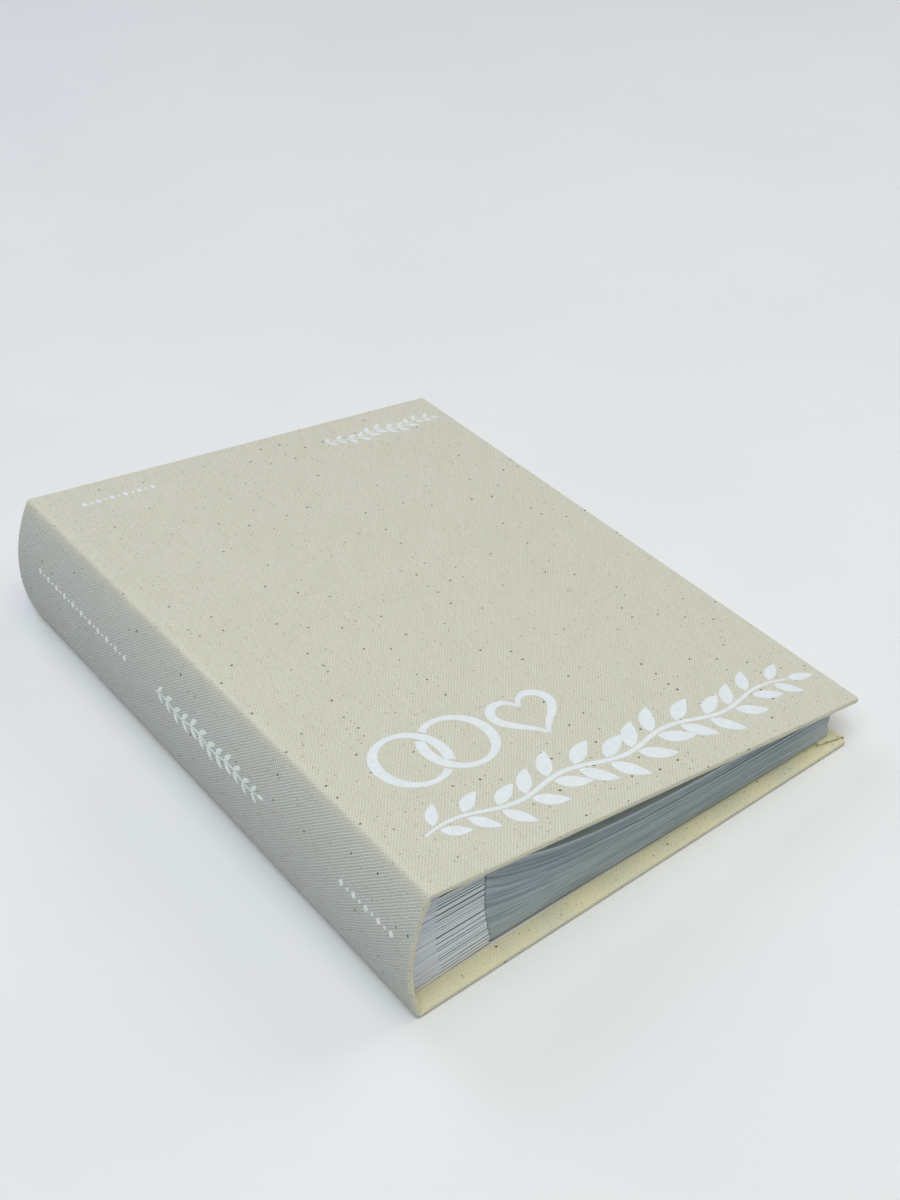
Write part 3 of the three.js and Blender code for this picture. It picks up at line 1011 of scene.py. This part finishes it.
class Leaf:
    """A slip-in leaf: two films welded round rows of pockets and a memo strip, over white inserts. c is the
    distance along it from the tip of its stub, less than 0 between the stubs."""

    def __init__(self, i):
        self.i, self.name = i, leaf_names[i]
        root, self.hinge = stub_line(i)
        low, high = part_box(self.name)
        self.y_end = high.y + rng.uniform(0.0, 0.25) * MM
        edge = Vector((fore_edge_x + rng.uniform(-0.5, 0.5) * MM, low.z + FILM_THICKNESS / 2))
        self.length = (edge - self.hinge).length
        self.along = (edge - self.hinge).normalized()
        self.along_stub = (root - self.hinge).normalized()
        self.tail = (root - self.hinge).length * (1 - FILM_ROOT - 0.02)
        self.up = Vector((-self.along.y, self.along.x))
        self.tone = rng.uniform(0.3, 0.6)
        neighbour = min(i + 1, leaf_count - 1)
        low_tip, high_tip = stub_line(neighbour - 1)[1], stub_line(neighbour)[1]
        self.pitch_at_tip = (high_tip - low_tip).length
        row = 2 * self.y_end / POCKET_ROWS
        self.welds = [-self.y_end + row * k for k in range(1, POCKET_ROWS)]

    def pitch(self, c):
        """How far apart neighbours lie there: spread at the stubs, they settle on each other further out."""
        return END_PITCH + (self.pitch_at_tip - END_PITCH) * exp(-max(0.0, c) / LEAF_SETTLING)

    def dip(self, c):
        """The top leaves give way at once beyond their stubs, under their own weight."""
        top = smooth((self.i - TOP_LEAVES_FROM) / (leaf_count - TOP_LEAVES_FROM))
        share = max(0.0, c) / TOP_DIP_AT
        return TOP_DIP * top * share * exp(1 - share)

    def middle(self, c, y):
        p = self.hinge + (self.along * c if c > 0 else self.along_stub * -c) - self.up * self.dip(c)
        straight = END_PITCH + (self.pitch_at_tip - END_PITCH) * (1 - max(0.0, c) / self.length)
        p = p - self.up * (straight - self.pitch(c)) * self.i
        sway = 0.15 * MM * smooth(c / (60 * MM)) * noise.noise(Vector((c * 16, y * 9, self.i * 0.12)))
        return p + self.up * sway

    def thickness(self, c, y):
        """Pockets fill most of the room between neighbours, and welds pinch them together."""
        if c <= 0:
            return FILM_THICKNESS
        squeezed = self.dip(c) / (leaf_count - TOP_LEAVES_FROM)
        filled = min(POCKET_FILL * self.pitch(c) - 1.3 * squeezed, 0.5 * MM + 2.0 * c)
        beside_row = min(abs(y - w) for w in self.welds) - WELD_WIDTH / 2
        beside_memo = abs(c - MEMO_STRIP) - WELD_WIDTH / 2
        full = 1.0
        for beside, from_end in ((beside_row, self.length - c), (beside_memo, self.y_end - abs(y))):
            full *= 1 - (1 - smooth(beside / (7 * MM))) * smooth((from_end - 1 * MM) / (8 * MM))
        return WELD_THICKNESS + (filled - WELD_THICKNESS) * full

    def shade(self, c, y):
        """Pale towards the fore-edge, where the films lie single. The top leaf is paler all over, painted
        light in the cover's shade, and palest at its rim, a painted highlight.
        """
        tone = self.tone + 0.35 * smooth((c - self.length + 26 * MM) / (24 * MM))
        # Painted light on the top leaf, and a painted highlight along its rim.
        if self.i == leaf_count - 1:
            tone += 1.0 if self.y_end - abs(y) < WELD_WIDTH / 4 else 0.40
        return tone

    def places(self):
        """Where the mesh has columns along the leaf."""
        near = [-self.tail, -self.tail / 2]
        near += [k * MM for k in (-3, -0.3, 0, 0.4, 1.2, 3, 5, 8, 12, 18, 26)]
        weld = [MEMO_STRIP + k * WELD_WIDTH / 2 for k in (-2, -1, 1, 2)]
        far = steps(MEMO_STRIP + 8 * MM, self.length - POCKET_MARGIN, 14 * MM)
        return near + weld + far + [self.length - WELD_WIDTH / 2, self.length]

    def rows(self):
        """Where the mesh has rows across the leaf."""
        edges = [-self.y_end, *self.welds, self.y_end]
        rows = [w + k * WELD_WIDTH / 2 for w in self.welds for k in (-2, -1, 1, 2)]
        for low, high in zip(edges, edges[1:]):
            rows += steps(low + POCKET_MARGIN, high - POCKET_MARGIN, 15 * MM)
        ends = [self.y_end - inset for inset in (0, WELD_WIDTH / 5, WELD_WIDTH / 2)]
        return sorted([-y for y in ends] + rows + ends)

    def insert_at(self, c, y):
        """Whether a white insert lies there: only in the pockets."""
        clear = min(abs(y - w) for w in self.welds) > WELD_WIDTH / 2
        inside = self.y_end - abs(y) > POCKET_MARGIN and MEMO_STRIP + WELD_WIDTH / 2 < c
        return clear and inside and c < self.length - POCKET_MARGIN

    def build(self):
        b = Builder()
        places, rows = self.places(), self.rows()

        def slot(k, j):
            return int(self.insert_at((places[k] + places[k + 1]) / 2, (rows[j] + rows[j + 1]) / 2))

        sheets = []
        for side in (-1, 1):
            columns = []
            for c in places:
                column = []
                # Between the stubs the film is narrower than they are.
                narrow = 1 - ROOT_NARROWING / self.y_end * (1 - smooth(1 + c / (0.3 * MM)))
                for y in rows:
                    p = self.middle(c, y) + self.up * side * self.thickness(c, y) / 2
                    flat = (c, y + 1.3 * self.i + side * 0.4)
                    shift = LEAF_SKEW * max(0.0, c)
                    column.append((b.vert(in_frame(p, y * narrow - shift), self.shade(c, y)), flat))
                columns.append(column)
            b.grid(columns, slot)
            sheets.append(columns)
        lower, upper = sheets
        for j in (0, -1):
            self.rim(b, [(low[j][0], high[j][0]) for low, high in zip(lower, upper)], places)
        for k in (0, -1):
            self.rim(b, [(low[0], high[0]) for low, high in zip(lower[k], upper[k])], rows)
        b.turn_out()
        obj = b.finish(f"pocket_{self.name}", [film_edge, film_insert])
        obj.data.set_sharp_from_angle(angle=SHARP_ANGLE)
        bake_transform(obj)
        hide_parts(self.name)

    def rim(self, b, pairs, distances):
        """Closes the leaf along one edge. Its streaks run along the edge."""
        for k, ((low_a, high_a), (low_b, high_b)) in enumerate(zip(pairs, pairs[1:])):
            level = self.i * 0.61
            here, there = distances[k], distances[k + 1]
            flats = [(here, level), (there, level), (there, level + 0.0008), (here, level + 0.0008)]
            b.face(list(zip((low_a, low_b, high_b, high_a), flats)))


binding_stubs()
binding_glue()
for i in range(leaf_count):
    Leaf(i).build()

# ---------------- camera, light, floor

# The photo's view, solved from the straight edges of the covers.
VIEW_AZIMUTH = radians(-36.08)
VIEW_ELEVATION = radians(39.16)
VIEW_ROLL = radians(-2.31)
VIEW_DISTANCE = 0.8182
VIEW_LENS = 51.55
AMBIENT = 0.155
TABLE_SIZE, TABLE_GAP = 12.0, 0.02 * MM
LIGHT_DISTANCE = 2.6
LIGHT_SIZE = 1.6
LIGHT_TARGET = Vector((0.03, 0, 0))
# Name, direction from the book, power and colour, fitted to the brightness of the cloth and the table.
STUDIO_LIGHTS = (
    ("over_the_tail", (0.0, -0.42, 0.91), 14.6, (1.0, 0.94, 0.76)),
    ("over_the_spine", (-0.35, -0.25, 0.9), 26, (0.915, 0.967, 1.0)),
    ("overhead", (0.0, 0.0, 1.0), 7.3, (0.91, 0.92, 1.0)),
    ("over_the_fore_edge", (0.75, -0.1, 0.65), 17.2, (1.0, 0.94, 0.83)),
    ("over_the_head", (0.0, 0.75, 0.66), 14.8, (0.85, 0.88, 1.0)),
)
# The view's middle is a little nearer the fore-edge, and higher, than the middle of the book.
VIEW_SHIFT = Vector((17.0, -4.9, 7.4)) * MM


def make_camera():
    data = bpy.data.cameras.new("camera")
    data.sensor_width = 36
    data.lens = VIEW_LENS
    data.clip_start = 0.01
    data.clip_end = 50
    camera = add_object("camera", data)
    a, e = VIEW_AZIMUTH, VIEW_ELEVATION
    forward = Vector((-sin(a) * cos(e), cos(a) * cos(e), -sin(e)))
    level = Vector((cos(a), sin(a), 0))
    upward = level.cross(forward)
    right = level * cos(VIEW_ROLL) + upward * sin(VIEW_ROLL)
    up = right.cross(forward)
    aim = (cad_low + cad_high) / 2 + VIEW_SHIFT
    rotation = Matrix((right, up, -forward)).transposed().to_4x4()
    camera.matrix_world = Matrix.Translation(aim - forward * VIEW_DISTANCE) @ rotation
    bpy.context.scene.camera = camera


def make_light():
    """Soft lights high up, the strongest over the spine, and warm ones over the tail and the fore-edge."""
    for name, direction, power, colour in STUDIO_LIGHTS:
        data = bpy.data.lights.new(name, "AREA")
        data.shape = "DISK"
        data.size = LIGHT_SIZE
        data.energy = power
        data.color = colour
        light = add_object(name, data)
        place = Vector(direction).normalized() * LIGHT_DISTANCE
        light.location = place
        light.rotation_euler = (LIGHT_TARGET - place).to_track_quat("-Z", "Y").to_euler()
    world = bpy.data.worlds.new("studio")
    world.use_nodes = True
    sky = world.node_tree.nodes["Background"].inputs
    sky["Color"].default_value = (0.745, 0.875, 1.0, 1)
    sky["Strength"].default_value = AMBIENT
    bpy.context.scene.world = world


def make_floor():
    mesh = bpy.data.meshes.new("table")
    size = TABLE_SIZE / 2
    corners = [(-size, -size), (size, -size), (size, size), (-size, size)]
    mesh.from_pydata([(x, y, -TABLE_GAP) for x, y in corners], [], [(0, 1, 2, 3)])
    mesh.materials.append(table_top())
    add_object("table", mesh)


make_camera()
make_light()
make_floor()

# ---------------- CAD nodes that stay in view

board, lining = greyboard(), crash_cloth()
in_view = {"front_board": board, "back_board": board, "spine_board": board, "spine_lining": lining}
for node, material in in_view.items():
    materials = frame["nodes"][node].data.materials
    materials.clear()
    materials.append(material)

view = bpy.context.scene.view_settings
view.view_transform = "Standard"
